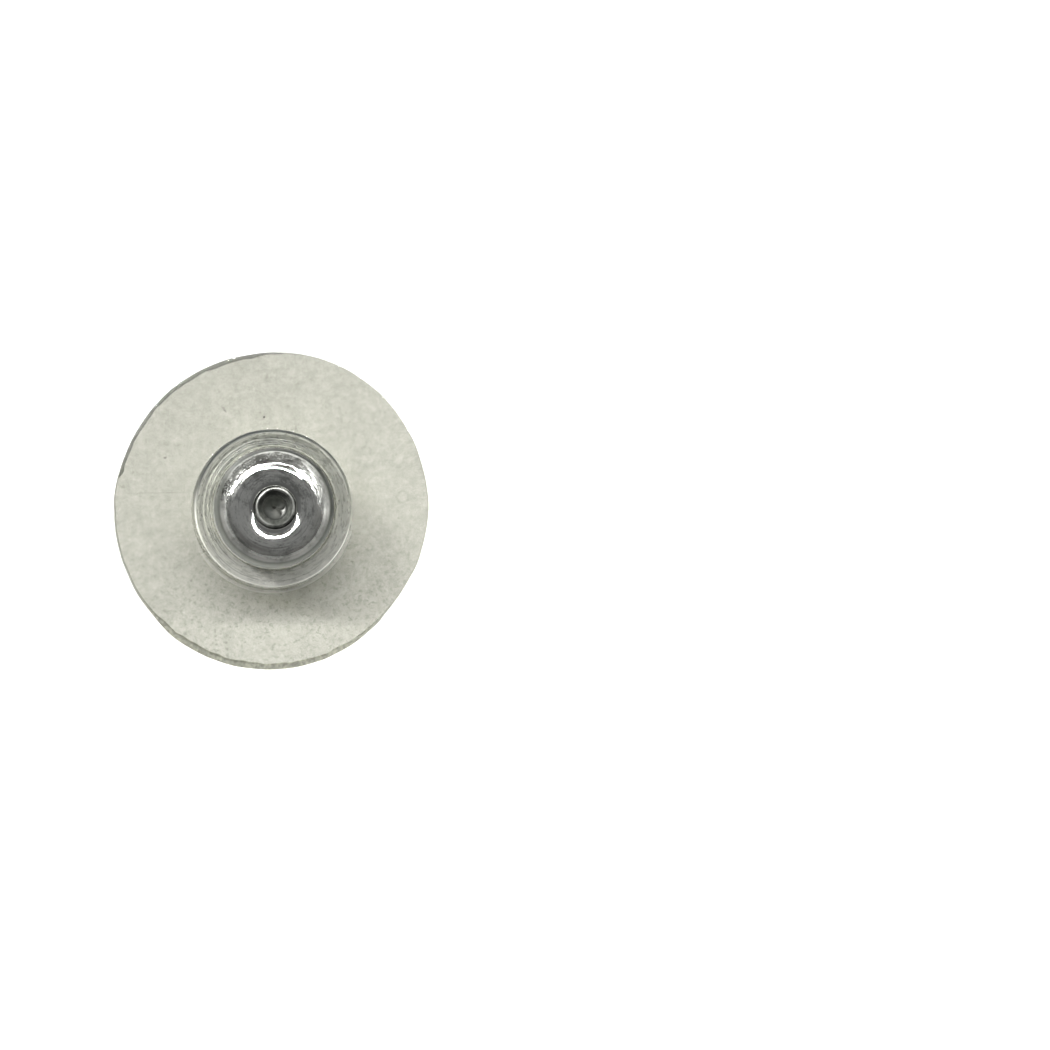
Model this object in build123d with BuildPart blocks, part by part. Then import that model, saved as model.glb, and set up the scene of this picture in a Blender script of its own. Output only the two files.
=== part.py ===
from build123d import *
import os
from math import asin, cos, degrees, radians, sin

# Earring back of the "bullet" kind: a hollow metal bullet that slides on to an
# earring's post, held in the collar of a clear plastic disc that spreads the
# load on the ear lobe.  Millimetres.  Origin: centre of the flat ear side of
# the disc.  +Z runs along the bullet, from the ear towards its rounded tail.

# ---------------------------------------------------------------- dimensions
gap = 0.03                # assembly gap between pieces

# comfort disc and its collar
disc_r = 5.50             # ear side of the disc
disc_edge_draft = 0.06    # the punched edge leans in by this much, ear side to tail side
disc_t = 0.60             # thickness of the disc
disc_edge_round = 0.05    # broken corners of the punched edge
collar_base_r = 2.82      # outside of the collar where it leaves the disc
collar_top_r = 2.75       # outside of the collar at its free end
collar_top_z = 2.55       # height of the free end
collar_root_fillet = 0.06
collar_outer_round = 0.13
collar_inner_round = 0.06

# metal bullet
barrel_r = 2.10           # outside of the barrel
shell_t = 0.25            # wall of the drawn shell
flange_r = 2.42           # flange at the ear end
flange_t = 0.25
nose_top_z = 5.60         # highest ring of the nose
mouth_depth = 0.55        # how far the edge rolled in round the middle tube reaches down

# middle tube
sleeve_r = 0.70           # outside of the tube
post_bore_r = 0.41        # takes a post of about 0.8
sleeve_top_z = 5.50       # rounded lip, just under the top of the nose
sleeve_mouth_r = 0.58     # shallow bowl at the tail end, down to the bore
sleeve_mouth_depth = 0.12
sleeve_lip_outer_round = 0.055
sleeve_lip_inner_round = 0.10
plate_t = 0.25            # round plate that closes the ear end of the shell
funnel_r = 0.75           # way in for the post
funnel_depth = 0.30

# Outside of the nose, from the barrel over the highest ring and down into the
# mouth: arcs that meet without a corner.  Tilt is the angle between the
# surface's outward normal and +Z, positive away from the middle.
#            name          radius  tilt_from  tilt_to
nose_arcs = [
    ("shoulder",     0.60,      90.0,    38.0),
    ("crown_slope",  1.20,      38.0,    14.0),
    ("crown_out",    0.80,      14.0,     0.0),
    ("crown_in",     1.13,       0.0,   -23.0),
    ("mouth_roll",   0.09,     -23.0,   -90.0),
]

# ------------------------------------------------------- worked-out positions
ring_r = barrel_r - sum(
    radius * (sin(radians(tilt_from)) - sin(radians(tilt_to)))
    for name, radius, tilt_from, tilt_to in nose_arcs[:3]
)                                      # radius of the highest ring
shoulder_z = nose_top_z - sum(
    radius * (cos(radians(tilt_to)) - cos(radians(tilt_from)))
    for name, radius, tilt_from, tilt_to in nose_arcs[:3]
)                                      # where the barrel ends
roll_r = ring_r - sum(
    radius * (sin(radians(tilt_from)) - sin(radians(tilt_to)))
    for name, radius, tilt_from, tilt_to in nose_arcs[3:]
)                                      # where the roll turns straight down
flange_z = gap                         # ear side of the flange
recess_r = flange_r + gap              # recess under the disc
recess_z = flange_z + flange_t + gap
pad_bore_r = barrel_r + gap
plate_r = barrel_r - shell_t - gap


def arc_rows(thickness):
    """Centres and radii of the nose's arcs, for a surface this far inside the outer one."""
    rows = []
    r, z = barrel_r, shoulder_z
    for name, radius, tilt_from, tilt_to in nose_arcs:
        centre_r = r - radius * sin(radians(tilt_from))
        centre_z = z - radius * cos(radians(tilt_from))
        rows.append((centre_r, centre_z, max(radius - thickness, 0.0), tilt_from, tilt_to))
        r = centre_r + radius * sin(radians(tilt_to))
        z = centre_z + radius * cos(radians(tilt_to))
    return rows


def on_arc(row, tilt):
    """Point of one arc at a tilt, as (radius from the axis, height)."""
    centre_r, centre_z, radius, tilt_from, tilt_to = row
    return (centre_r + radius * sin(radians(tilt)), centre_z + radius * cos(radians(tilt)))


# ------------------------------------------------------------- comfort_pad
# Disc and collar in one moulding, turned about Z.
with BuildPart() as comfort_pad:
    with BuildSketch(Plane.XZ) as pad_section:
        with BuildLine() as pad_outline:
            Polyline(
                (recess_r, 0),
                (disc_r, 0),
                (disc_r - disc_edge_draft, disc_t),
                (collar_base_r, disc_t),
                (collar_top_r, collar_top_z),
                (pad_bore_r, collar_top_z),
                (pad_bore_r, recess_z),
                (recess_r, recess_z),
                close=True,
            )
        make_face()
        corners = pad_section.vertices()
        fillet(corners.sort_by_distance((collar_top_r, collar_top_z))[0], collar_outer_round)
        fillet(
            pad_section.vertices().sort_by_distance((pad_bore_r, collar_top_z))[0],
            collar_inner_round,
        )
        fillet(
            pad_section.vertices().sort_by_distance((collar_base_r, disc_t))[0],
            collar_root_fillet,
        )
        fillet(
            pad_section.vertices().sort_by_distance((disc_r, 0))[0],
            disc_edge_round,
        )
        fillet(
            pad_section.vertices().sort_by_distance((disc_r - disc_edge_draft, disc_t))[0],
            disc_edge_round,
        )
    revolve(axis=Axis.Z)
comfort_pad.part.label = "comfort_pad"

# ------------------------------------------------------------ bullet_shell
# Drawn shell of even wall: flange, barrel, nose and rolled-in mouth.
outer_rows = arc_rows(0.0)
inner_rows = arc_rows(shell_t)
roll_end_z = nose_top_z - mouth_depth
# The roll is tighter than the wall, so inside it the hidden side of the rolled
# edge meets the underside of the crown in a corner.
crown_in = inner_rows[3]
corner_tilt = -degrees(asin((crown_in[0] - (roll_r + shell_t)) / crown_in[2]))
crown_corner = on_arc(crown_in, corner_tilt)

with BuildPart() as bullet_shell:
    with BuildSketch(Plane.XZ) as shell_section:
        with BuildLine() as shell_outline:
            # outside, from the flange up
            Polyline(
                (barrel_r - shell_t, flange_z),
                (flange_r, flange_z),
                (flange_r, flange_z + flange_t),
                (barrel_r, flange_z + flange_t),
                (barrel_r, shoulder_z),
            )
            for row in outer_rows:
                ThreePointArc(
                    on_arc(row, row[3]),
                    on_arc(row, (row[3] + row[4]) / 2),
                    on_arc(row, row[4]),
                )
            # rolled-in edge and back up its hidden side
            Polyline(
                on_arc(outer_rows[-1], -90.0),
                (roll_r, roll_end_z),
                (roll_r + shell_t, roll_end_z),
                crown_corner,
            )
            # inside of the crown and of the shoulder, back to the barrel
            ThreePointArc(crown_corner, on_arc(crown_in, corner_tilt / 2), on_arc(crown_in, 0.0))
            for row in reversed(inner_rows[:3]):
                ThreePointArc(
                    on_arc(row, row[4]),
                    on_arc(row, (row[3] + row[4]) / 2),
                    on_arc(row, row[3]),
                )
            Line((barrel_r - shell_t, shoulder_z), (barrel_r - shell_t, flange_z))
        make_face()
        # turned corner above the flange and its two broken edges
        fillet(
            shell_section.vertices().sort_by_distance((barrel_r, flange_z + flange_t))[0],
            0.06,
        )
        fillet(
            shell_section.vertices().sort_by_distance((flange_r, flange_z))[0],
            0.06,
        )
        fillet(
            shell_section.vertices().sort_by_distance((flange_r, flange_z + flange_t))[0],
            0.06,
        )
    revolve(axis=Axis.Z)
bullet_shell.part.label = "bullet_shell"

# ------------------------------------------------------------- post_sleeve
# Tube with its end plate; the post comes in through the funnel.
with BuildPart() as post_sleeve:
    with BuildSketch(Plane.XZ) as sleeve_section:
        with BuildLine() as sleeve_outline:
            Polyline(
                (funnel_r, flange_z),
                (plate_r, flange_z),
                (plate_r, flange_z + plate_t),
                (sleeve_r, flange_z + plate_t),
                (sleeve_r, sleeve_top_z),
                (sleeve_mouth_r, sleeve_top_z),
                (post_bore_r, sleeve_top_z - sleeve_mouth_depth),
                (post_bore_r, flange_z + funnel_depth),
                close=True,
            )
        make_face()
        fillet(
            sleeve_section.vertices().sort_by_distance((sleeve_r, sleeve_top_z))[0],
            sleeve_lip_outer_round,
        )
        fillet(
            sleeve_section.vertices().sort_by_distance((sleeve_mouth_r, sleeve_top_z))[0],
            sleeve_lip_inner_round,
        )
        fillet(
            sleeve_section.vertices().sort_by_distance((plate_r, flange_z))[0],
            0.05,
        )
    revolve(axis=Axis.Z)
post_sleeve.part.label = "post_sleeve"

# ------------------------------------------------------------------ output
os.makedirs("parts", exist_ok=True)
export_step(comfort_pad.part, "parts/comfort_pad.step")
export_step(bullet_shell.part, "parts/bullet_shell.step")
export_step(post_sleeve.part, "parts/post_sleeve.step")

print("highest ring radius", round(ring_r, 3), "roll radius", round(roll_r, 3),
      "shoulder z", round(shoulder_z, 3))
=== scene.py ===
import bpy
import math
import random
from mathutils import Matrix, Vector


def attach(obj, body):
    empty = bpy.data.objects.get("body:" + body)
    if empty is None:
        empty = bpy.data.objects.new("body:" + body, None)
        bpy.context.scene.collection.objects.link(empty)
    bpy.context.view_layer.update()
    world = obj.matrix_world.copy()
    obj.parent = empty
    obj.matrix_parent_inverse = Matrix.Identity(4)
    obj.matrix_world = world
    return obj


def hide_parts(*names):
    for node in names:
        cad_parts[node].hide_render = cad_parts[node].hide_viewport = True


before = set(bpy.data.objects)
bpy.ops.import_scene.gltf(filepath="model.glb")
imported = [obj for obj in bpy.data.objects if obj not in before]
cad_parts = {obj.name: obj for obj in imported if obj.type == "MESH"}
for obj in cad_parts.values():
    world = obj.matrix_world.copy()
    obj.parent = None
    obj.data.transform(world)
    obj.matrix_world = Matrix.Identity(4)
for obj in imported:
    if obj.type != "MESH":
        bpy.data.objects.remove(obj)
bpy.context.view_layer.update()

MM = 0.001
scene = bpy.context.scene


# =====================================================================
# meshes turned about Z from a closed profile
# =====================================================================
def arc(cr, cz, radius, start, stop, count):
    """Points of an arc. Angles are tilts from +Z towards larger radius, in degrees."""
    points = []
    for i in range(count + 1):
        t = math.radians(start + (stop - start) * i / count)
        points.append((cr + radius * math.sin(t), cz + radius * math.cos(t)))
    return points


def run(a, b, count):
    """Points between a and b, without b."""
    return [(a[0] + (b[0] - a[0]) * i / count, a[1] + (b[1] - a[1]) * i / count) for i in range(count)]


def tidy(points):
    """Drops points that repeat the one before."""
    out = []
    for p in points:
        if not out or math.hypot(p[0] - out[-1][0], p[1] - out[-1][1]) > 1e-5:
            out.append(p)
    if math.hypot(out[0][0] - out[-1][0], out[0][1] - out[-1][1]) < 1e-5:
        out.pop()
    return out


def turned(name, profile, segments, place, zone=None):
    """Closed solid of revolution. place(radius, height, azimuth) gives x, y, z in mm. Azimuth runs clockwise from +Y, seen from above. zone(radius, height) is kept on the points for the material."""
    profile = tidy(profile)
    rings = len(profile)
    verts = []
    for r, z in profile:
        for s in range(segments):
            verts.append([c * MM for c in place(r, z, 2 * math.pi * s / segments)])
    faces = []
    for i in range(rings):
        j = (i + 1) % rings
        for s in range(segments):
            t = (s + 1) % segments
            faces.append((i * segments + s, j * segments + s, j * segments + t, i * segments + t))
    mesh = bpy.data.meshes.new(name)
    mesh.from_pydata(verts, [], faces)
    mesh.validate()
    mesh.polygons.foreach_set("use_smooth", [True] * len(mesh.polygons))
    mesh.update()
    if zone:
        kept = mesh.attributes.new("zone", "FLOAT", "POINT")
        kept.data.foreach_set("value", [zone(r, z) for r, z in profile for _ in range(segments)])
    obj = bpy.data.objects.new(name, mesh)
    scene.collection.objects.link(obj)
    return obj


def spread(table, column, azimuth):
    """Reads a column of a table of rows by azimuth in degrees, smoothly round the circle."""
    deg = math.degrees(azimuth) % 360.0
    rows = sorted(table, key=lambda row: row["azimuth"])
    for i, row in enumerate(rows):
        after = rows[(i + 1) % len(rows)]
        span = (after["azimuth"] - row["azimuth"]) % 360.0 or 360.0
        along = (deg - row["azimuth"]) % 360.0
        if along < span:
            t = along / span
            t = t * t * (3 - 2 * t)
            return row[column] + (after[column] - row[column]) * t
    return 0.0


def wave(seed, terms, azimuth):
    """A smooth closed curve round the circle: a few seeded harmonics, each (count, size)."""
    rng = random.Random(seed)
    total = 0.0
    for count, size in terms:
        total += size * math.sin(count * azimuth + rng.uniform(0, 2 * math.pi))
    return total


def ease(t):
    t = max(0.0, min(1.0, t))
    return t * t * (3 - 2 * t)


# ---------------------------------------------------------------- sizes, mm
gap = 0.03
disc_r, disc_t = 5.455, 0.60
disc_edge = 0.05
collar_base_r, collar_top_r, collar_top_z = 2.79, 2.74, 2.55
collar_outer_round, collar_inner_round, root_round = 0.13, 0.06, 0.04
barrel_r, shell_t = 2.10, 0.25
flange_r, flange_t = 2.42, 0.25
nose_top_z, mouth_depth = 5.60, 0.55
sleeve_r, post_bore_r = 0.70, 0.41
sleeve_top_z = 5.50
plate_t, funnel_r, funnel_depth = 0.25, 0.75, 0.30

nose_arcs = [
    {"name": "shoulder", "radius": 0.60, "tilt_from": 90.0, "tilt_to": 38.0},
    {"name": "crown_slope", "radius": 1.20, "tilt_from": 38.0, "tilt_to": 14.0},
    {"name": "crown_out", "radius": 0.80, "tilt_from": 14.0, "tilt_to": 0.0},
    {"name": "crown_in", "radius": 1.13, "tilt_from": 0.0, "tilt_to": -23.0},
    {"name": "mouth_roll", "radius": 0.104, "tilt_from": -23.0, "tilt_to": -90.0},
]


def sind(a):
    return math.sin(math.radians(a))


def cosd(a):
    return math.cos(math.radians(a))


shoulder_z = nose_top_z - sum(
    row["radius"] * (cosd(row["tilt_to"]) - cosd(row["tilt_from"])) for row in nose_arcs[:3])


def nose_rows(thickness):
    rows, r, z = [], barrel_r, shoulder_z
    for row in nose_arcs:
        cr = r - row["radius"] * sind(row["tilt_from"])
        cz = z - row["radius"] * cosd(row["tilt_from"])
        rows.append((cr, cz, max(row["radius"] - thickness, 0.0), row["tilt_from"], row["tilt_to"]))
        r = cr + row["radius"] * sind(row["tilt_to"])
        z = cz + row["radius"] * cosd(row["tilt_to"])
    return rows, r


# =====================================================================
# comfort disc with its collar
# =====================================================================
recess_r = flange_r + gap
recess_z = gap + flange_t + gap
bore_r = barrel_r + gap

pad_profile = (
    run((recess_r, 0.0), (disc_r - disc_edge, 0.0), 14)
    + arc(disc_r - disc_edge, disc_edge, disc_edge, 180.0, 90.0, 5)
    + run((disc_r, disc_edge), (disc_r, disc_t - disc_edge), 8)
    + arc(disc_r - disc_edge, disc_t - disc_edge, disc_edge, 90.0, 0.0, 5)
    + run((disc_r - disc_edge, disc_t), (collar_base_r + root_round, disc_t), 16)
    # root of the collar
    + [(collar_base_r + root_round * (1 - sind(a)), disc_t + root_round * (1 - cosd(a))) for a in range(0, 91, 15)]
    + run((collar_base_r, disc_t + root_round + 0.01), (collar_top_r, collar_top_z - collar_outer_round), 12)
    + arc(collar_top_r - collar_outer_round, collar_top_z - collar_outer_round, collar_outer_round, 90.0, 0.0, 8)
    + run((collar_top_r - collar_outer_round, collar_top_z), (bore_r + collar_inner_round, collar_top_z), 26)
    + arc(bore_r + collar_inner_round, collar_top_z - collar_inner_round, collar_inner_round, 0.0, -90.0, 6)
    + run((bore_r, collar_top_z - collar_inner_round), (bore_r, recess_z), 12)
    + run((bore_r, recess_z), (recess_r, recess_z), 3)
    + run((recess_r, recess_z), (recess_r, 0.0), 3)
)

# The disc was punched out of round and on the slant. out_mm is where the outline lies
# against a true circle, and foot_mm is how far the ear side stands out past the tail side.
rim = [
    {"azimuth": 0, "out_mm": 0.030, "foot_mm": -0.05},
    {"azimuth": 15, "out_mm": 0.09, "foot_mm": -0.015},
    {"azimuth": 45, "out_mm": 0.105, "foot_mm": 0.02},
    {"azimuth": 60, "out_mm": 0.085, "foot_mm": 0.02},
    {"azimuth": 75, "out_mm": 0.035, "foot_mm": 0.01},
    {"azimuth": 90, "out_mm": 0.03, "foot_mm": 0.00},
    {"azimuth": 106, "out_mm": -0.03, "foot_mm": 0.00},
    {"azimuth": 123, "out_mm": -0.09, "foot_mm": 0.01},
    {"azimuth": 131, "out_mm": -0.06, "foot_mm": 0.05},
    {"azimuth": 138, "out_mm": 0.01, "foot_mm": 0.12},
    {"azimuth": 155, "out_mm": 0.06, "foot_mm": 0.16},
    {"azimuth": 162, "out_mm": 0.10, "foot_mm": 0.18},
    {"azimuth": 180, "out_mm": 0.145, "foot_mm": 0.21},
    {"azimuth": 218, "out_mm": 0.165, "foot_mm": 0.22},
    {"azimuth": 231, "out_mm": 0.065, "foot_mm": 0.07},
    {"azimuth": 250, "out_mm": 0.040, "foot_mm": 0.045},
    {"azimuth": 270, "out_mm": 0.030, "foot_mm": 0.03},
    {"azimuth": 280, "out_mm": 0.020, "foot_mm": -0.02},
    {"azimuth": 285, "out_mm": 0.005, "foot_mm": -0.13},
    {"azimuth": 300, "out_mm": -0.01, "foot_mm": -0.12},
    {"azimuth": 345, "out_mm": 0.01, "foot_mm": -0.14},
    {"azimuth": 353, "out_mm": 0.01, "foot_mm": -0.13},
]


def place_pad(r, z, az):
    part = max(0.0, min(1.0, (r - 4.2) / (disc_r - 4.2)))          # only the rim is uneven
    part = part * part
    foot = spread(rim, "foot_mm", az)
    up = min(z / disc_t, 1.0)
    ragged = 1.0 + wave(8, [(19, 0.07), (31, 0.06), (47, 0.05), (73, 0.04)], az)
    back = -foot * ragged * up if foot > 0 else foot * ragged * (1.0 - up)
    r2 = r + part * (spread(rim, "out_mm", az) + back + wave(7, [(9, 0.006), (17, 0.004), (31, 0.003)], az))
    x, y = r2 * math.sin(az), r2 * math.cos(az)
    if z > disc_t + 0.2:                                           # collar: soft, a little out of true
        up = (z - disc_t) / (collar_top_z - disc_t)
        k = up * up
        z += k * wave(11, [(2, 0.014), (3, 0.010), (7, 0.005)], az)
        if r < bore_r + 0.12 and z > 2.2:                          # the bore's end is punched a little to one side
            x += 0.018 * ease((z - 2.2) / 0.3) * (1.0 - ease((r - bore_r) / 0.12))
        if r > bore_r + 0.1:
            grow = 1.0 + k * (wave(12, [(2, 0.004), (5, 0.003), (9, 0.002), (16, 0.0015)], az))
            x, y = x * grow, y * grow
        if z > collar_top_z - 0.1:                                 # fine ridges round the cut end
            turn = 0.5 + 0.5 * math.cos(az - math.radians(275))
            for ridge_r, wide, tall in ((2.235, 0.022, 0.012), (2.31, 0.020, 0.012), (2.385, 0.022, 0.010)):
                z += (0.15 + 0.85 * turn) * tall * math.exp(-((r - ridge_r) / wide) ** 2)
            z += 0.0013 * math.sin((r + 0.01 * math.sin(3 * az + 1)) * 2 * math.pi / 0.085)
    return x, y, z


pad = turned("comfort_pad_clear", pad_profile, 360, place_pad, lambda r, z: 1.0 if r > disc_r - disc_edge * 0.6 else 0.0)

# =====================================================================
# bullet shell
# =====================================================================
outer, roll_r = nose_rows(0.0)
inner, _ = nose_rows(shell_t)
roll_end_z = nose_top_z - mouth_depth
ic = inner[3]
corner_tilt = -math.degrees(math.asin((ic[0] - (roll_r + shell_t)) / ic[2]))        # where the roll's hidden side meets the crown

shell_profile = (
    run((barrel_r - shell_t, gap), (flange_r - 0.06, gap), 4)
    + arc(flange_r - 0.06, gap + 0.06, 0.06, 180.0, 90.0, 4)
    + run((flange_r, gap + 0.06), (flange_r, gap + flange_t - 0.06), 2)
    + arc(flange_r - 0.06, gap + flange_t - 0.06, 0.06, 90.0, 0.0, 4)
    + run((flange_r - 0.06, gap + flange_t), (barrel_r + 0.06, gap + flange_t), 2)
    + [(barrel_r + 0.06 - 0.06 * sind(a), gap + flange_t + 0.06 - 0.06 * cosd(a)) for a in range(0, 91, 22)]
    + run((barrel_r, gap + flange_t + 0.06), (barrel_r, shoulder_z), 24)
)
for cr, cz, radius, tilt_from, tilt_to in outer:
    shell_profile += arc(cr, cz, radius, tilt_from, tilt_to, max(6, int(abs(tilt_from - tilt_to) / 2.5)))
shell_profile += run((roll_r, shell_profile[-1][1] - 0.01), (roll_r, roll_end_z + 0.03), 4)
shell_profile += arc(roll_r + 0.03, roll_end_z + 0.03, 0.03, -90.0, -180.0, 3)
shell_profile += run((roll_r + 0.03, roll_end_z), (roll_r + shell_t, roll_end_z), 2)
shell_profile += run((roll_r + shell_t, roll_end_z), (roll_r + shell_t, ic[1] + ic[2] * cosd(corner_tilt) - 0.01), 2)
shell_profile += arc(ic[0], ic[1], ic[2], corner_tilt, 0.0, 5)
for cr, cz, radius, tilt_from, tilt_to in reversed(inner[:3]):
    shell_profile += arc(cr, cz, radius, tilt_to, tilt_from, 6)
shell_profile += run((barrel_r - shell_t, shoulder_z), (barrel_r - shell_t, gap), 8)


def lean(x, y, z):
    """The bullet leans a little in the collar."""
    t = ease((z - 2.6) / 2.2)
    return x - 0.045 * t, y - 0.034 * t


def place_shell(r, z, az):
    r2 = r
    if r > barrel_r - 0.9 and z > 3.0:
        r2 += wave(21, [(2, 0.004), (3, 0.003)], az) * min(1.0, (z - 3.0) / 1.5)
    if r > 1.3 and z > 2.6:                                 # drawn with a slight taper
        r2 -= 0.04 * ease((z - 2.6) / 2.2) * ease((r - 1.3) / 0.6)
    x, y = r2 * math.sin(az), r2 * math.cos(az)
    x, y = lean(x, y, z)
    if z > 5.0:                                             # the dish is pressed a little askew
        z += 0.040 * x * ease((1.60 - r) / 0.6) * ease((z - 5.0) / 0.3)
    return x, y, z


shell = turned("bullet_shell_nickel", shell_profile, 320, place_shell)

# =====================================================================
# middle tube with its end plate
# =====================================================================
plate_r = barrel_r - shell_t - gap
lip_r, lip_z = 0.630, sleeve_top_z                                # crest of the soft lip
bowl_z = lip_z - 0.085 * (1 - cosd(35.0)) - (lip_r - 0.085 * sind(35.0) - post_bore_r - 0.02) * math.tan(math.radians(35.0))
sleeve_profile = (
    run((funnel_r, gap), (plate_r - 0.05, gap), 4)
    + arc(plate_r - 0.05, gap + 0.05, 0.05, 180.0, 90.0, 4)
    + run((plate_r, gap + 0.05), (plate_r, gap + plate_t), 2)
    + run((plate_r, gap + plate_t), (sleeve_r, gap + plate_t), 4)
    + run((sleeve_r, gap + plate_t), (sleeve_r, sleeve_top_z - 0.40), 16)
    + run((sleeve_r, sleeve_top_z - 0.40), (0.720, sleeve_top_z - 0.30), 5)
    + run((0.720, sleeve_top_z - 0.30), (0.720, lip_z - 0.17), 3)
    + run((0.720, lip_z - 0.17), (lip_r + 0.076, lip_z - 0.12), 3)
    + run((lip_r + 0.075, lip_z - 0.12), (lip_r + 0.075, lip_z - 0.080), 3)
    + arc(lip_r, lip_z - 0.075, 0.075, 90.0, 0.0, 10)
    + arc(lip_r, lip_z - 0.085, 0.085, 0.0, -35.0, 6)[1:]
    + run((lip_r - 0.085 * sind(35.0), lip_z - 0.085 * (1 - cosd(35.0))), (post_bore_r + 0.02, bowl_z), 8)
    + [(post_bore_r + 0.02, bowl_z), (post_bore_r + 0.006, bowl_z - 0.016), (post_bore_r, bowl_z - 0.035)]
    + run((post_bore_r, bowl_z - 0.04), (post_bore_r, 4.10), 76)
    + run((post_bore_r, 4.10), (post_bore_r, 3.40), 14)
    + run((post_bore_r, 3.40), (post_bore_r, gap + funnel_depth + 0.02), 8)
    + run((post_bore_r, gap + funnel_depth), (funnel_r, gap), 6)
)


def place_sleeve(r, z, az):
    r2 = r
    deg = math.degrees(az)
    if 0.412 < r < 0.56 and z > 5.3:                         # the bowl is a little uneven
        z += 0.012 * wave(33, [(2, 0.5), (3, 0.4), (5, 0.25)], az) * ease((0.56 - r) / 0.10)
    if r < 0.412 and 3.4 < z < 5.12:                        # spring throat: three leaves that close on the post
        close = ease((5.10 - z) / 0.42) * ease((z - 3.45) / 0.5)
        leaf = 0.5 + 0.5 * math.cos(3 * (az - math.radians(114)))
        r2 -= close * (0.385 + 0.007 * leaf)
        near = (deg - 114 + 180) % 360 - 180                # one leaf is bent in higher up
        shelf = math.exp(-(near / 24.0) ** 2)
        r2 -= shelf * 0.18 * ease((5.085 - z) / 0.045) * (1.0 - close)
        r2 = max(r2, 0.018)
    if z > 5.2:                                             # lip a little out of round
        r2 += wave(31, [(2, 0.006), (3, 0.004), (5, 0.002)], az) * (z - 5.2) / 0.3
        z += wave(32, [(1, 0.006), (3, 0.004)], az) * (z - 5.2) / 0.3
    x, y = lean(r2 * math.sin(az), r2 * math.cos(az), z)
    aside = 0.012 * ease((z - 5.34) / 0.10)                   # the lip stands a little to one side
    return x + aside, y + aside, min(z, nose_top_z - 0.05)


sleeve = turned("post_sleeve_metal", sleeve_profile, 200, place_sleeve)


# =====================================================================
# materials
# =====================================================================
class Nodes:
    def __init__(self, name):
        self.mat = bpy.data.materials.new(name)
        self.mat.use_nodes = True
        self.tree = self.mat.node_tree
        self.tree.nodes.clear()

    def add(self, kind, **values):
        n = self.tree.nodes.new(kind)
        for k, v in values.items():
            if hasattr(n, k):
                setattr(n, k, v)
            else:
                n.inputs[k.replace("_", " ")].default_value = v
        return n

    def link(self, a, b):
        self.tree.links.new(a, b)

    def math(self, op, a, b=None, c=None, clamp=False):
        n = self.tree.nodes.new("ShaderNodeMath")
        n.operation = op
        n.use_clamp = clamp
        for i, v in enumerate((a, b, c)):
            if v is None:
                continue
            if isinstance(v, (int, float)):
                n.inputs[i].default_value = v
            else:
                self.link(v, n.inputs[i])
        return n.outputs[0]

    def ramp(self, fac, stops):
        n = self.tree.nodes.new("ShaderNodeValToRGB")
        while len(n.color_ramp.elements) > 1:
            n.color_ramp.elements.remove(n.color_ramp.elements[0])
        first = True
        for pos, col in stops:
            e = n.color_ramp.elements[0] if first else n.color_ramp.elements.new(pos)
            e.position = pos
            e.color = col if len(col) == 4 else (*col, 1.0)
            first = False
        self.link(fac, n.inputs[0])
        return n.outputs[0]

    def range(self, value, a, b, c, d):
        n = self.tree.nodes.new("ShaderNodeMapRange")
        n.inputs["From Min"].default_value = a
        n.inputs["From Max"].default_value = b
        n.inputs["To Min"].default_value = c
        n.inputs["To Max"].default_value = d
        self.link(value, n.inputs["Value"])
        return n.outputs["Result"]

    def noise(self, vector, scale, detail=3.0, rough=0.5, distort=0.0):
        n = self.add("ShaderNodeTexNoise")
        n.inputs["Scale"].default_value = scale
        n.inputs["Detail"].default_value = detail
        n.inputs["Roughness"].default_value = rough
        n.inputs["Distortion"].default_value = distort
        self.link(vector, n.inputs["Vector"])
        return n.outputs["Fac"]


def polar(m, off_x=0.0, off_y=0.0):
    """Object coordinates, distance from the axis, and the direction from it as two numbers."""
    coord = m.add("ShaderNodeTexCoord").outputs["Object"]
    split = m.add("ShaderNodeSeparateXYZ")
    m.link(coord, split.inputs[0])
    x, y, z = split.outputs
    if off_x or off_y:
        x, y = m.math("SUBTRACT", x, off_x), m.math("SUBTRACT", y, off_y)
    rr = m.math("SQRT", m.math("ADD", m.math("MULTIPLY", x, x), m.math("MULTIPLY", y, y)))
    safe = m.math("MAXIMUM", rr, 0.00001)
    return coord, x, y, z, rr, m.math("DIVIDE", x, safe), m.math("DIVIDE", y, safe)


def toward(m, nx, ny, azimuth):
    """1 on the side at this azimuth, 0 on the other."""
    a = math.radians(azimuth)
    s = m.math("ADD", m.math("MULTIPLY", nx, math.sin(a)), m.math("MULTIPLY", ny, math.cos(a)))
    return m.math("ADD", m.math("MULTIPLY", s, 0.5), 0.5)


def step(m, value, a, b):
    """Smooth step from 0 at a to 1 at b."""
    n = m.tree.nodes.new("ShaderNodeMapRange")
    n.interpolation_type = "SMOOTHSTEP"
    n.inputs["From Min"].default_value = a
    n.inputs["From Max"].default_value = b
    m.link(value, n.inputs["Value"])
    return n.outputs["Result"]


def blend(m, fac, a, b):
    n = m.tree.nodes.new("ShaderNodeMix")
    n.data_type = "RGBA"
    m.link(fac, n.inputs[0])
    for socket, v in ((n.inputs[6], a), (n.inputs[7], b)):
        if isinstance(v, tuple):
            socket.default_value = (*v, 1.0)
        else:
            m.link(v, socket)
    return n.outputs[2]


def rings(m, nx, ny, along, turns, fineness, detail=3.0):
    """Noise drawn out round the axis, as turning and handling leave it."""
    n = m.add("ShaderNodeCombineXYZ")
    m.link(m.math("MULTIPLY", nx, turns), n.inputs[0])
    m.link(m.math("MULTIPLY", ny, turns), n.inputs[1])
    m.link(m.math("MULTIPLY", along, fineness), n.inputs[2])
    return m.noise(n.outputs[0], 1.0, detail, 0.6)


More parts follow.
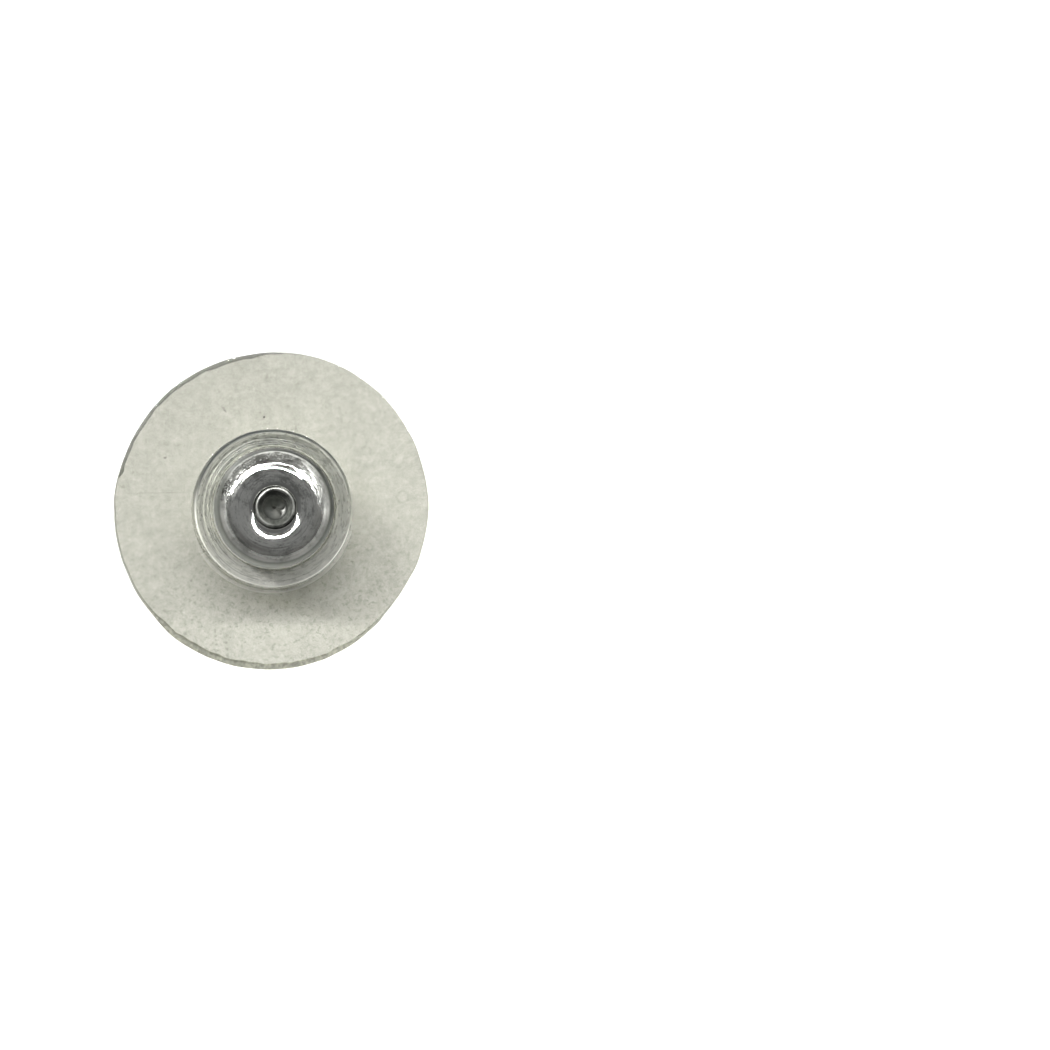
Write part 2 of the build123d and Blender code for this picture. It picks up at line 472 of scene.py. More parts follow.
# scratches and dust on the disc: middle, length, width in mm, slope in degrees, depth of tone
marks = [
    {"x": -3.82, "y": 0.58, "long": 2.60, "wide": 0.050, "slope": 1.0, "tone": 0.12},
    {"x": -0.25, "y": 3.23, "long": 0.08, "wide": 0.080, "slope": 0.0, "tone": 0.90},
    {"x": -1.64, "y": 3.48, "long": 0.28, "wide": 0.060, "slope": -52.0, "tone": 0.40},
    {"x": -3.70, "y": 1.80, "long": 0.14, "wide": 0.075, "slope": 20.0, "tone": 0.50},
    {"x": 2.70, "y": 3.05, "long": 0.30, "wide": 0.045, "slope": 38.0, "tone": 0.12},
    {"x": 4.45, "y": -0.30, "long": 0.09, "wide": 0.070, "slope": 0.0, "tone": 0.25},
    {"x": -0.40, "y": -3.90, "long": 0.22, "wide": 0.050, "slope": 12.0, "tone": 0.22},
]
rub = {"x": 4.59, "y": 0.44, "radius": 0.20, "wide": 0.06, "tone": 0.12}


def marked(m, x, y):
    """How much of the light is left after the marks."""
    left = None
    for row in marks:
        a = math.radians(row["slope"])
        dx = m.math("SUBTRACT", x, row["x"] * MM)
        dy = m.math("SUBTRACT", y, row["y"] * MM)
        u = m.math("ADD", m.math("MULTIPLY", dx, math.cos(a)), m.math("MULTIPLY", dy, math.sin(a)))
        w = m.math("SUBTRACT", m.math("MULTIPLY", dy, math.cos(a)), m.math("MULTIPLY", dx, math.sin(a)))
        u = m.math("ABSOLUTE", m.math("MULTIPLY", u, 2.0 / (row["long"] * MM)))
        w = m.math("ABSOLUTE", m.math("MULTIPLY", w, 2.0 / (row["wide"] * MM)))
        d = m.math("SQRT", m.math("ADD", m.math("POWER", u, 4.0), m.math("MULTIPLY", w, w)))
        one = m.math("SUBTRACT", 1.0, m.math("MULTIPLY", m.math("SUBTRACT", 1.0, step(m, d, 0.3, 1.1)), row["tone"]))
        left = one if left is None else m.math("MULTIPLY", left, one)
    dx = m.math("SUBTRACT", x, rub["x"] * MM)
    dy = m.math("SUBTRACT", y, rub["y"] * MM)
    d = m.math("SQRT", m.math("ADD", m.math("MULTIPLY", dx, dx), m.math("MULTIPLY", dy, dy)))
    off = m.math("ABSOLUTE", m.math("SUBTRACT", d, rub["radius"] * MM))
    ring = m.math("SUBTRACT", 1.0, step(m, off, 0.0, rub["wide"] * MM))
    return m.math("MULTIPLY", left, m.math("SUBTRACT", 1.0, m.math("MULTIPLY", ring, rub["tone"])))


# ---- clear vinyl
v = Nodes("clear_vinyl")
out = v.add("ShaderNodeOutputMaterial")
coord, px, py, pz, pr, nx, ny = polar(v)
vinyl = v.add("ShaderNodeBsdfPrincipled")
vinyl.inputs["IOR"].default_value = 1.50
vinyl.inputs["Specular IOR Level"].default_value = 0.15
cloud = v.noise(coord, 900.0, 4.0, 0.6)
grain = v.noise(coord, 14000.0, 3.0, 0.7)
speck = v.noise(coord, 4200.0, 1.0, 0.5)
streaks = rings(v, nx, ny, pr, 7.0, 14000.0)
dots = v.noise(coord, 7500.0, 2.0, 0.6)
collar = v.math("MULTIPLY", step(v, pz, 0.0007, 0.0011), v.math("SUBTRACT", 1.0, step(v, pr, 0.0029, 0.0031)))
cut = v.math("MULTIPLY", step(v, pz, 0.00250, 0.00253), collar)               # the collar's knife-cut end
far = toward(v, nx, ny, 0)
outer_wall = v.math("MULTIPLY", collar, step(v, pr, 0.00263, 0.00268))
shaded = v.math("MULTIPLY", outer_wall, step(v, toward(v, nx, ny, 350), 0.45, 0.80))
edge = v.add("ShaderNodeAttribute", attribute_name="zone").outputs["Fac"]        # the disc's punched edge
coarse = v.noise(coord, 4300.0, 2.0, 0.6)
tone = v.math("ADD", v.math("MULTIPLY", cloud, 0.20), v.math("ADD", v.math("MULTIPLY", grain, 0.40), v.math("MULTIPLY", coarse, 0.40)))
base = v.ramp(tone, [(0.36, (0.545, 0.542, 0.519)), (0.50, (0.680, 0.676, 0.648)), (0.64, (0.810, 0.806, 0.773))])
low_side = step(v, toward(v, nx, ny, 172), 0.45, 0.95)
mottle = v.math("MULTIPLY", v.math("SUBTRACT", 1.0, step(v, dots, 0.30, 0.44)), v.math("ADD", v.math("MULTIPLY", low_side, 0.27), 0.028))
off_collar = v.math("SUBTRACT", 1.0, collar)
# painted shade: outside the collar the disc is made darker towards the top left (azimuth 330), on top of its even tint
# and the dark dots
level = v.math("SUBTRACT", 0.97, v.math("MULTIPLY", v.math("ADD", v.math("ADD", mottle, 0.230), v.math("MULTIPLY", toward(v, nx, ny, 330), 0.115)), off_collar))
# painted light and shade on the collar: its plastic is lighter on the near side and darker on the far side
far_side_shade = v.math("POWER", far, 0.24)
base = blend(v, collar, base, blend(v, far_side_shade, (0.66, 0.665, 0.61), (0.33, 0.337, 0.295)))
# painted light and shade on the collar's cut end: near white on the near side, which lies in the bullet's shadow, and
# nearly black on the far side, a touch lighter on the left
left_side = toward(v, nx, ny, 270)
cut_far_shade_lo = blend(v, left_side, (0.042, 0.045, 0.038), (0.052, 0.055, 0.046))
cut_far_shade_hi = blend(v, left_side, (0.100, 0.104, 0.088), (0.112, 0.116, 0.098))
cut_lit_and_shaded_lo = blend(v, far_side_shade, (0.84, 0.84, 0.78), cut_far_shade_lo)
cut_lit_and_shaded_hi = blend(v, far_side_shade, (1.0, 1.0, 0.94), cut_far_shade_hi)
base = blend(v, cut, base, blend(v, step(v, v.math("ADD", v.math("MULTIPLY", streaks, 0.6), v.math("MULTIPLY", grain, 0.4)), 0.38, 0.60), cut_lit_and_shaded_lo, cut_lit_and_shaded_hi))
# fine rings left by the knife, most of them round a centre of their own, drawn as painted highlights (light lines)
# and painted shade (dark lines) that show on one side; the last row is a painted highlight along the outer round on
# the near side:
# radius and width in mm, tone, side where they show, how narrowly, least and most
ox = v.math("SUBTRACT", px, 0.000042)
own_r = v.math("SQRT", v.math("ADD", v.math("MULTIPLY", ox, ox), v.math("MULTIPLY", py, py)))
light, dark = (0.46, 0.466, 0.41), (0.08, 0.085, 0.075)
knife = v.math("MULTIPLY", collar, step(v, pz, 0.00240, 0.00245))
for centre, at, wide, tint, side, narrow, least, most in (
    (own_r, 2.165, 0.034, light, 320, 0.0, 0.35, 0.80),
    (own_r, 2.247, 0.026, dark, 290, 0.6, 0.00, 0.80),
    (own_r, 2.316, 0.026, light, 292, 0.7, 0.00, 0.75),
    (own_r, 2.316, 0.030, dark, 240, 0.9, 0.00, 0.70),
    (own_r, 2.325, 0.034, dark, 20, 0.4, 0.00, 0.45),
    (own_r, 2.385, 0.026, dark, 290, 0.7, 0.00, 0.60),
    (own_r, 2.454, 0.034, light, 265, 0.6, 0.00, 0.75),
    (own_r, 2.545, 0.030, dark, 285, 0.5, 0.00, 0.50),
    (own_r, 2.575, 0.028, light, 30, 0.3, 0.00, 0.30),
    (own_r, 2.665, 0.034, dark, 15, 0.4, 0.00, 0.60),
    (pr, 2.520, 0.020, dark, 200, 0.0, 0.00, 0.45),
    (pr, 2.612, 0.024, light, 340, 0.0, 0.10, 0.30),
    (pr, 2.665, 0.026, light, 275, 0.5, 0.00, 0.60),
    (pr, 2.700, 0.040, (1.0, 1.0, 0.93), 195, 0.30, 0.00, 0.95),
):
    off = v.math("ABSOLUTE", v.math("SUBTRACT", centre, at * MM))
    line = v.math("MULTIPLY", v.math("SUBTRACT", 1.0, step(v, off, 0.0, wide * MM)), knife)
    near = toward(v, nx, ny, side)
    if narrow:
        near = step(v, near, narrow, min(1.0, narrow + 0.35))
    seen = v.math("ADD", v.math("MULTIPLY", near, most - least), least)
    base = blend(v, v.math("MULTIPLY", line, seen), base, tint)
base = blend(v, v.math("MULTIPLY", shaded, 0.97), base, (0.045, 0.049, 0.048))
edge_col = v.ramp(v.math("MULTIPLY", toward(v, nx, ny, 319), v.math("ADD", v.math("MULTIPLY", cloud, 0.30), 0.85)),
                  [(0.12, (0.26, 0.27, 0.21)), (0.30, (0.34, 0.35, 0.29)), (0.50, (0.52, 0.53, 0.47)), (0.74, (0.44, 0.45, 0.41)),
                   (0.86, (0.38, 0.39, 0.38)), (0.94, (0.31, 0.322, 0.325))])
slant = v.math("MULTIPLY", edge, step(v, toward(v, nx, ny, 186), 0.78, 0.86))    # the wide slanting cut
drag = rings(v, nx, ny, pz, 42.0, 2500.0, 3.0)                                     # left by the punch, down the cut
slant_col = blend(v, step(v, v.math("ADD", v.math("MULTIPLY", grain, 0.4), v.math("MULTIPLY", drag, 0.6)), 0.38, 0.60),
                  (0.33, 0.335, 0.255), (0.52, 0.525, 0.415))
low_line = v.math("MULTIPLY", step(v, pz, 0.00036, 0.00054), step(v, toward(v, nx, ny, 212), 0.93, 0.98))
slant_col = blend(v, v.math("MULTIPLY", low_line, 0.8), slant_col, (0.20, 0.205, 0.155))
left_line = v.math("MULTIPLY", edge, step(v, toward(v, nx, ny, 256), 0.91, 0.95))
edge_col = blend(v, left_line, edge_col, (0.19, 0.195, 0.15))
edge_col = blend(v, slant, edge_col, slant_col)
dragged = v.add("ShaderNodeVectorMath", operation="SCALE")
v.link(edge_col, dragged.inputs[0])
v.link(v.range(drag, 0.34, 0.66, 0.76, 1.28), dragged.inputs["Scale"])
edge_col = dragged.outputs[0]
base = blend(v, edge, base, edge_col)
fleck = v.ramp(speck, [(0.20, (0.70, 0.70, 0.67)), (0.25, (1.0, 1.0, 1.0))])
# specks and marks, times the disc's tint with its painted shade
marks_and_shade = v.add("ShaderNodeVectorMath", operation="SCALE")
v.link(fleck, marks_and_shade.inputs[0])
v.link(v.math("MULTIPLY", marked(v, px, py), level), marks_and_shade.inputs["Scale"])
times = v.add("ShaderNodeMix")
times.data_type = "RGBA"
times.blend_type = "MULTIPLY"
times.inputs[0].default_value = 1.0
v.link(base, times.inputs[6])
v.link(marks_and_shade.outputs[0], times.inputs[7])
v.link(times.outputs[2], vinyl.inputs["Base Color"])
low_cut = v.math("MULTIPLY", step(v, toward(v, nx, ny, 172), 0.50, 0.90), 0.30)
low_edge = v.math("MULTIPLY", v.math("MULTIPLY", knife, v.math("SUBTRACT", 1.0, cut)), v.math("MULTIPLY", outer_wall, step(v, toward(v, nx, ny, 195), 0.30, 0.65)))
cut_haze = v.math("ADD", v.math("MULTIPLY", cut, v.math("ADD", v.math("MULTIPLY", far, 0.10), v.math("ADD", low_cut, 0.45))), v.math("MULTIPLY", low_edge, 0.60))
haze = v.math("ADD", v.math("MULTIPLY", collar, 0.05),
              v.math("ADD", cut_haze, v.math("ADD", v.math("MULTIPLY", edge, 0.50), v.math("ADD", v.math("MULTIPLY", v.math("ADD", slant, left_line), 0.20), v.math("MULTIPLY", shaded, 0.42)))))
v.link(v.math("SUBTRACT", 0.95, haze), vinyl.inputs["Transmission Weight"])
smooth = v.range(cloud, 0.3, 0.7, 0.02, 0.07)
rounded = v.math("MULTIPLY", outer_wall, v.math("ADD", v.math("MULTIPLY", step(v, far, 0.35, 0.60), 0.56), 0.44))
matte = v.math("ADD", v.math("MULTIPLY", cut, v.range(streaks, 0.3, 0.7, 0.18, 0.32)),
               v.math("ADD", v.math("MULTIPLY", edge, 0.30), v.math("ADD", v.math("MULTIPLY", slant, 0.20), v.math("MULTIPLY", rounded, 0.50))))
root = v.math("MULTIPLY", v.math("MULTIPLY", step(v, pr, 0.00276, 0.00280), v.math("SUBTRACT", 1.0, step(v, pr, 0.00290, 0.00294))),
              v.math("SUBTRACT", 1.0, step(v, pz, 0.00075, 0.00090)))
v.link(v.math("ADD", v.math("ADD", smooth, matte), v.math("MULTIPLY", v.math("MULTIPLY", root, low_side), 0.45)), vinyl.inputs["Roughness"])
bump = v.add("ShaderNodeBump")
bump.inputs["Strength"].default_value = 0.30
bump.inputs["Distance"].default_value = 0.00001
v.link(v.math("ADD", cloud, v.math("MULTIPLY", v.math("MULTIPLY", streaks, collar), 1.0)), bump.inputs["Height"])
v.link(bump.outputs[0], vinyl.inputs["Normal"])
clear = v.add("ShaderNodeBsdfTransparent")
v.link(blend(v, collar, (0.90, 0.903, 0.862), (0.84, 0.84, 0.81)), clear.inputs["Color"])
path = v.add("ShaderNodeLightPath")
soft = v.add("ShaderNodeMixShader")
v.link(path.outputs["Is Diffuse Ray"], soft.inputs[0])
v.link(vinyl.outputs[0], soft.inputs[1])
v.link(clear.outputs[0], soft.inputs[2])
mix = v.add("ShaderNodeMixShader")
v.link(path.outputs["Is Shadow Ray"], mix.inputs[0])
v.link(soft.outputs[0], mix.inputs[1])
v.link(clear.outputs[0], mix.inputs[2])
v.link(mix.outputs[0], out.inputs["Surface"])
pad.data.materials.append(v.mat)


# ---- bright nickel: polished crown and dish, scuffed shoulder, dull low on the flank
n = Nodes("bright_nickel")
out = n.add("ShaderNodeOutputMaterial")
coord, px, py, pz, pr, nx, ny = polar(n, -0.000045, -0.000034)
along = n.math("ADD", pr, n.math("MULTIPLY", pz, 0.7))
lines = rings(n, nx, ny, along, 5.0, 22000.0, 3.0)
broad = rings(n, nx, ny, along, 3.0, 5000.0, 3.0)
cloud = n.noise(coord, 1100.0, 4.0, 0.6)
fine = n.noise(coord, 16000.0, 3.0, 0.65)
shoulder = step(n, pr, 0.00152, 0.00172)
skirt = step(n, n.math("ADD", pr, n.math("MULTIPLY", toward(n, nx, ny, 190), 0.00005)), 0.001905, 0.001960)
steep = n.math("MULTIPLY", skirt, step(n, pz, 0.0040, 0.0046))
dull = n.math("ADD", n.math("MULTIPLY", lines, 0.5), n.math("MULTIPLY", fine, 0.5))
metal_col = n.ramp(n.math("ADD", n.math("ADD", n.math("MULTIPLY", cloud, 0.3), n.math("MULTIPLY", broad, 0.35)), n.math("MULTIPLY", dull, 0.35)),
                   [(0.43, (0.50, 0.505, 0.48)), (0.50, (0.88, 0.89, 0.85)), (0.55, (1.0, 1.0, 0.96))])
facing = step(n, toward(n, nx, ny, 0), 0.42, 0.72)
# two darker bands on the outer shoulder, strongest on the near side
shoulder_dark_band = n.math("MULTIPLY", step(n, pr, 0.00183, 0.00191), n.math("SUBTRACT", 0.95, n.math("MULTIPLY", step(n, toward(n, nx, ny, 355), 0.70, 0.92), 0.65)))
near_shoulder_dark = n.math("MULTIPLY", step(n, pr, 0.00171, 0.00180), n.math("SUBTRACT", 0.50, n.math("MULTIPLY", step(n, toward(n, nx, ny, 0), 0.70, 0.92), 0.45)))
metal_col = blend(n, n.math("MULTIPLY", near_shoulder_dark, step(n, pz, 0.0040, 0.0046)), metal_col, (0.26, 0.265, 0.245))
metal_col = blend(n, n.math("MULTIPLY", shoulder_dark_band, step(n, pz, 0.0040, 0.0046)), metal_col, (0.16, 0.166, 0.148))
# near-black band on the steep flank next to the collar, strongest towards azimuth 30
skirt_dark = n.math("MULTIPLY", steep, n.math("ADD", n.math("MULTIPLY", toward(n, nx, ny, 30), 0.90), 0.12), clamp=True)
p = n.add("ShaderNodeBsdfPrincipled")
p.inputs["Metallic"].default_value = 1.0
mouth = n.math("MULTIPLY", n.math("SUBTRACT", 1.0, step(n, pr, 0.00084, 0.00092)), step(n, pz, 0.0050, 0.0052))
# painted shade: the metal is darker in the mouth round the tube
metal_col = blend(n, mouth, metal_col, (0.62, 0.625, 0.61))
# painted highlight: a light line round the dish at 1.17 mm, on the left side
pressed = n.math("SUBTRACT", 1.0, step(n, n.math("ABSOLUTE", n.math("SUBTRACT", pr, 0.00117)), 0.0, 0.000034))
metal_col = blend(n, n.math("MULTIPLY", pressed, n.math("MULTIPLY", toward(n, nx, ny, 265), 0.5)), metal_col, (1.0, 1.0, 0.98))
# light bands on the crown, painted highlights that show on one side, and darker bands: radius and width in mm, tone,
# side, how narrowly, strength
for at, wide, tint, side, narrow, most in (
    (1.12, 0.050, (1.0, 1.0, 0.95), 190, 0.55, 0.75),
    (1.22, 0.070, (1.0, 1.0, 0.95), 175, 0.70, 0.80),
    (1.335, 0.045, (1.0, 1.0, 0.95), 228, 0.85, 0.90),
    (1.40, 0.040, (0.44, 0.42, 0.39), 190, 0.85, 0.60),
    (1.50, 0.110, (0.50, 0.475, 0.44), 214, 0.90, 0.60),
    (1.30, 0.030, (0.50, 0.51, 0.48), 90, 0.60, 0.50),
    (1.06, 0.026, (0.45, 0.46, 0.43), 60, 0.50, 0.45),
    (1.25, 0.026, (0.50, 0.51, 0.49), 330, 0.60, 0.40),
    (1.66, 0.030, (0.50, 0.50, 0.47), 150, 0.70, 0.45),
):
    wander = n.math("ADD", pr, n.math("MULTIPLY", n.math("SUBTRACT", cloud, 0.5), 0.00012))
    off = n.math("ABSOLUTE", n.math("SUBTRACT", wander, at * MM))
    band = n.math("MULTIPLY", n.math("SUBTRACT", 1.0, step(n, off, 0.0, wide * MM)), step(n, toward(n, nx, ny, side), narrow, min(1.0, narrow + 0.25)))
    metal_col = blend(n, n.math("MULTIPLY", n.math("MULTIPLY", band, most), step(n, pz, 0.0050, 0.0052)), metal_col, tint)
n.link(blend(n, skirt_dark, metal_col, (0.022, 0.025, 0.02)), p.inputs["Base Color"])
polish = n.math("ADD", n.range(dull, 0.36, 0.64, 0.035, 0.075), n.math("MULTIPLY", n.math("MULTIPLY", step(n, pr, 0.00134, 0.00146), facing), n.range(dull, 0.40, 0.60, 0.00, 0.10)))
sides = n.math("MAXIMUM", step(n, toward(n, nx, ny, 66), 0.88, 0.97), n.math("MULTIPLY", step(n, toward(n, nx, ny, 308), 0.90, 0.98), 0.15))
rubbed = n.math("MULTIPLY", n.math("MULTIPLY", step(n, pr, 0.00138, 0.00152), sides), 0.20)
scuff = n.math("MULTIPLY", n.math("MULTIPLY", shoulder, facing), n.range(dull, 0.38, 0.62, 0.0, 0.17))
lower = n.math("MULTIPLY", n.math("MULTIPLY", step(n, pr, 0.00156, 0.00174), n.math("SUBTRACT", 1.0, facing)), 0.38)
n.link(n.math("ADD", n.math("ADD", polish, n.math("ADD", scuff, rubbed)), n.math("ADD", lower, n.math("MULTIPLY", mouth, 0.02))), p.inputs["Roughness"])
b = n.add("ShaderNodeBump")
b.inputs["Strength"].default_value = 1.0
b.inputs["Distance"].default_value = 0.000004
rough_height = n.math("ADD", n.math("MULTIPLY", fine, 0.6), n.math("MULTIPLY", lines, 0.6))
amount = n.math("ADD", n.math("MULTIPLY", shoulder, 0.60), 0.55)
scratch = rings(n, nx, ny, along, 4.0, 13000.0, 2.0)
fleck_r = n.math("ADD", pr, n.math("MULTIPLY", sides, 0.00013))
flecks = n.math("MULTIPLY", n.math("MULTIPLY", step(n, fleck_r, 0.00145, 0.00158), facing), n.math("MULTIPLY", scratch, n.math("ADD", n.math("MULTIPLY", sides, 8.0), 6.2)))
n.link(n.math("ADD", n.math("ADD", n.math("MULTIPLY", rough_height, amount), n.math("MULTIPLY", broad, 0.5)), flecks), b.inputs["Height"])
n.link(b.outputs[0], p.inputs["Normal"])
n.link(p.outputs[0], out.inputs["Surface"])
shell.data.materials.append(n.mat)

# ---- plated brass of the middle tube, a touch warmer and duller
n = Nodes("sleeve_plate")
out = n.add("ShaderNodeOutputMaterial")
coord, px, py, pz, pr, nx, ny = polar(n, -0.000045, -0.000034)
lines = rings(n, nx, ny, n.math("ADD", pr, pz), 4.0, 16000.0, 3.0)
cloud = n.noise(coord, 2500.0, 4.0, 0.6)
fine = n.noise(coord, 18000.0, 2.0, 0.6)
dull = n.math("ADD", n.math("MULTIPLY", lines, 0.5), n.math("MULTIPLY", cloud, 0.5))
inside = n.math("SUBTRACT", 1.0, step(n, pr, 0.00040, 0.00047))
p = n.add("ShaderNodeBsdfPrincipled")
p.inputs["Metallic"].default_value = 1.0
far = toward(n, nx, ny, 340)
# painted shade: the tube is much darker on the near side and lighter towards azimuth 340
tube_lo = blend(n, far, (0.045, 0.047, 0.043), (0.17, 0.173, 0.162))
tube_hi = blend(n, far, (0.12, 0.123, 0.115), (0.42, 0.425, 0.40))
tube_col = blend(n, step(n, n.math("ADD", n.math("MULTIPLY", dull, 0.4), n.math("MULTIPLY", cloud, 0.6)), 0.42, 0.58), tube_lo, tube_hi)
bowl = n.math("MULTIPLY", n.math("MULTIPLY", step(n, pr, 0.00041, 0.00045), n.math("SUBTRACT", 1.0, step(n, pr, 0.00055, 0.00060))),
              step(n, pz, 0.00530, 0.00534))
# painted shade: the bowl inside the lip is darker than the tube, darkest on its far side
bowl_col = blend(n, step(n, dull, 0.38, 0.60), (0.085, 0.090, 0.080), (0.175, 0.180, 0.165))
tube_col = blend(n, bowl, tube_col, blend(n, n.math("MULTIPLY", step(n, far, 0.45, 0.90), 0.6), bowl_col, (0.03, 0.033, 0.03)))
# painted shade: the bore is darker inside, with a mottled tone
tube_col = blend(n, inside, tube_col, blend(n, step(n, cloud, 0.40, 0.60), (0.15, 0.157, 0.147), (0.20, 0.203, 0.188)))
glint = n.math("MULTIPLY", n.math("MULTIPLY", step(n, pz, 0.00495, 0.00500), n.math("MULTIPLY", inside, n.math("MULTIPLY", step(n, pr, 0.00027, 0.00030), n.math("SUBTRACT", 1.0, step(n, pr, 0.00036, 0.00039))))),
               step(n, toward(n, nx, ny, 114), 0.940, 0.975))
n.link(blend(n, glint, tube_col, (0.13, 0.13, 0.124)), p.inputs["Base Color"])
rough = n.math("ADD", n.range(dull, 0.36, 0.64, 0.32, 0.50), n.math("MULTIPLY", n.math("SUBTRACT", 1.0, far), 0.22))
n.link(n.math("SUBTRACT", rough, n.math("MULTIPLY", glint, 0.20)), p.inputs["Roughness"])
b = n.add("ShaderNodeBump")
b.inputs["Strength"].default_value = 1.0
b.inputs["Distance"].default_value = 0.000003
n.link(n.math("ADD", n.math("MULTIPLY", lines, 0.6), n.math("MULTIPLY", fine, 0.5)), b.inputs["Height"])
n.link(b.outputs[0], p.inputs["Normal"])
n.link(p.outputs[0], out.inputs["Surface"])
sleeve.data.materials.append(n.mat)

for piece, node, slot in (
    (pad, "comfort_pad", "clear_plastic"),
    (shell, "bullet_shell", "bright_nickel"),
    (sleeve, "post_sleeve", "sleeve_metal"),
):
    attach(piece, "root")
    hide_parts(node)

# =====================================================================
# floor, light and camera
# =====================================================================
floor_mesh = bpy.data.meshes.new("floor")
half = 0.6
floor_mesh.from_pydata([(-half, -half, 0), (half, -half, 0), (half, half, 0), (-half, half, 0)], [], [(0, 1, 2, 3)])
floor = bpy.data.objects.new("floor", floor_mesh)
floor.location = (0, 0, -0.02 * MM)
scene.collection.objects.link(floor)
f = Nodes("pale_floor")
fo = f.add("ShaderNodeOutputMaterial")
fp = f.add("ShaderNodeBsdfPrincipled")
fp.inputs["Roughness"].default_value = 0.75
fp.inputs["Specular IOR Level"].default_value = 0.2
fc, fx, fy, fz, fr, fnx, fny = polar(f)
fn = f.noise(fc, 2500.0, 3.0, 0.6)
near_col = f.ramp(fn, [(0.3, (0.915, 0.915, 0.912)), (0.7, (0.93, 0.93, 0.928))])
f.link(blend(f, step(f, fr, 0.034, 0.080), near_col, (0.42, 0.42, 0.41)), fp.inputs["Base Color"])
f.link(fp.outputs[0], fo.inputs["Surface"])
floor.data.materials.append(f.mat)

# pale room, greyer overhead and darker on the camera's side
world = bpy.data.worlds.new("studio")
scene.world = world
world.use_nodes = True
wt = world.node_tree
wt.nodes.clear()
wo = wt.nodes.new("ShaderNodeOutputWorld")
wb = wt.nodes.new("ShaderNodeBackground")
wc = wt.nodes.new("ShaderNodeTexCoord")
ws = wt.nodes.new("ShaderNodeSeparateXYZ")
wr = wt.nodes.new("ShaderNodeValToRGB")
wt.links.new(wc.outputs["Generated"], ws.inputs[0])
wt.links.new(ws.outputs["Z"], wr.inputs[0])
e = wr.color_ramp.elements
e[0].position, e[0].color = 0.0, (0.24, 0.24, 0.23, 1)
e[1].position, e[1].color = 1.0, (0.425, 0.43, 0.428, 1)
for pos, col in ((0.30, (0.26, 0.26, 0.25, 1)), (0.60, (0.34, 0.34, 0.33, 1)), (0.85, (0.425, 0.428, 0.424, 1))):
    el = e.new(pos)
    el.color = col
wd = wt.nodes.new("ShaderNodeVectorMath")
wd.operation = "DOT_PRODUCT"
wd.inputs[1].default_value = (-0.30, -0.80, 0.52)
wt.links.new(wc.outputs["Generated"], wd.inputs[0])
wm = wt.nodes.new("ShaderNodeMapRange")
wm.interpolation_type = "SMOOTHSTEP"
wm.inputs["From Min"].default_value, wm.inputs["From Max"].default_value = 0.55, 0.92
wm.inputs["To Min"].default_value, wm.inputs["To Max"].default_value = 1.0, 0.80
wt.links.new(wd.outputs["Value"], wm.inputs["Value"])
# a lighter wall low down behind the strip
wy = wt.nodes.new("ShaderNodeMapRange")
wy.interpolation_type = "SMOOTHSTEP"
wy.inputs["From Min"].default_value, wy.inputs["From Max"].default_value = 0.35, 0.80
wy.inputs["To Min"].default_value, wy.inputs["To Max"].default_value = 0.0, 1.7
wt.links.new(ws.outputs["Y"], wy.inputs["Value"])
wz = wt.nodes.new("ShaderNodeMapRange")
wz.interpolation_type = "SMOOTHSTEP"
wz.inputs["From Min"].default_value, wz.inputs["From Max"].default_value = 0.25, 0.60
wz.inputs["To Min"].default_value, wz.inputs["To Max"].default_value = 1.0, 0.0
wt.links.new(ws.outputs["Z"], wz.inputs["Value"])
wp = wt.nodes.new("ShaderNodeMath")
wp.operation = "MULTIPLY"
wt.links.new(wy.outputs[0], wp.inputs[0])
wt.links.new(wz.outputs[0], wp.inputs[1])
wq = wt.nodes.new("ShaderNodeMath")
wq.operation = "ADD"
wt.links.new(wp.outputs[0], wq.inputs[0])
wt.links.new(wm.outputs[0], wq.inputs[1])
wx = wt.nodes.new("ShaderNodeVectorMath")
wx.operation = "SCALE"
wt.links.new(wr.outputs[0], wx.inputs[0])
wt.links.new(wq.outputs[0], wx.inputs["Scale"])
wt.links.new(wx.outputs[0], wb.inputs["Color"])
wb.inputs["Strength"].default_value = 0.430
wt.links.new(wb.outputs[0], wo.inputs["Surface"])

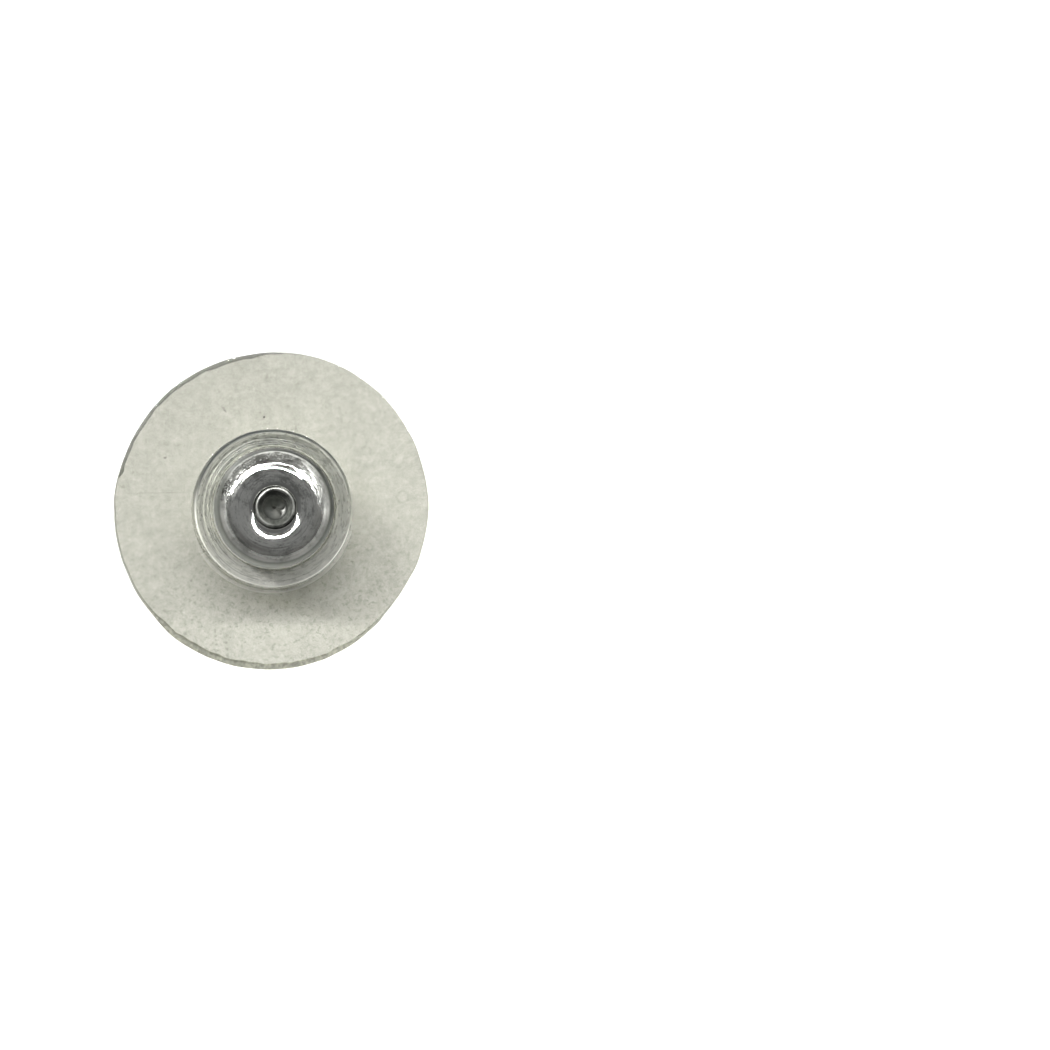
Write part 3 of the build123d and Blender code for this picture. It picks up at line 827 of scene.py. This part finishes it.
# long narrow strip on the far side, high up, in lengths, brightest in the middle
elev = math.radians(69.0)
strip_w, strip_d = 0.008, 0.9
for label, x_from, x_to, radiance in (
    ("strip_1", -1.70, -0.74, 60.0),
    ("strip_2", -0.74, -0.62, 160.0),
    ("strip_3", -0.62, -0.50, 480.0),
    ("strip_4", -0.50, -0.38, 1450.0),
    ("strip_5", -0.38, -0.26, 330.0),
    ("strip_6", -0.26, -0.18, 850.0),
    ("strip_7", -0.18, 0.18, 680.0),
    ("strip_8", 0.18, 0.26, 560.0),
    ("strip_9", 0.26, 0.36, 90.0),
    ("strip_10", 0.36, 0.50, 440.0),
    ("strip_11", 0.50, 1.00, 125.0),
    ("strip_12", 1.00, 1.70, 50.0),
):
    strip = bpy.data.lights.new(label, "AREA")
    strip.shape = "RECTANGLE"
    strip.size, strip.size_y = x_to - x_from, strip_w
    strip.energy = radiance * math.pi * strip.size * strip_w
    strip.color = (1.0, 0.998, 0.985)
    strip_obj = bpy.data.objects.new(label, strip)
    strip_obj.location = ((x_from + x_to) / 2, strip_d * math.cos(elev), strip_d * math.sin(elev))
    strip_obj.rotation_euler = (elev - math.pi / 2, 0.0, 0.0)
    scene.collection.objects.link(strip_obj)

# camera: almost straight down, a little from the left and from below the picture
cam = bpy.data.cameras.new("camera")
cam_obj = bpy.data.objects.new("camera", cam)
scene.collection.objects.link(cam_obj)
scene.camera = cam_obj
cam.sensor_width = 36.0
distance = 0.25
px_per_mm = 28.64
frame_px = 1050.0
cam.lens = 36.0 * distance / (frame_px / px_per_mm * MM)
tilt = math.radians(2.26)
back = Vector((-0.853 * math.sin(tilt), -0.521 * math.sin(tilt), math.cos(tilt))).normalized()
aim = Vector((0.0, 0.0, 0.0003))
seen_x, seen_y = 271.2, 509.6                   # where the middle of the disc is in the picture
side = (seen_x - frame_px / 2) / frame_px * 36.0 / cam.lens
up = (frame_px / 2 - seen_y) / frame_px * 36.0 / cam.lens
right = Vector((0, 1, 0)).cross(back).normalized()
upward = back.cross(right).normalized()
look = Matrix((right, upward, back)).transposed().to_quaternion()
pan = Vector((0, 0, -1)).rotation_difference(Vector((side, up, -1)).normalized())
cam_obj.rotation_mode = "QUATERNION"
cam_obj.rotation_quaternion = look @ pan.inverted()
cam_obj.location = aim + back * distance
cam.clip_start, cam.clip_end = 0.001, 10.0

scene.view_settings.view_transform = "Standard"
scene.view_settings.look = "None"
scene.view_settings.exposure = 0.0
scene.cycles.max_bounces = 16
scene.cycles.transmission_bounces = 12
scene.cycles.transparent_max_bounces = 16
scene.cycles.glossy_bounces = 8
scene.cycles.use_denoising = True
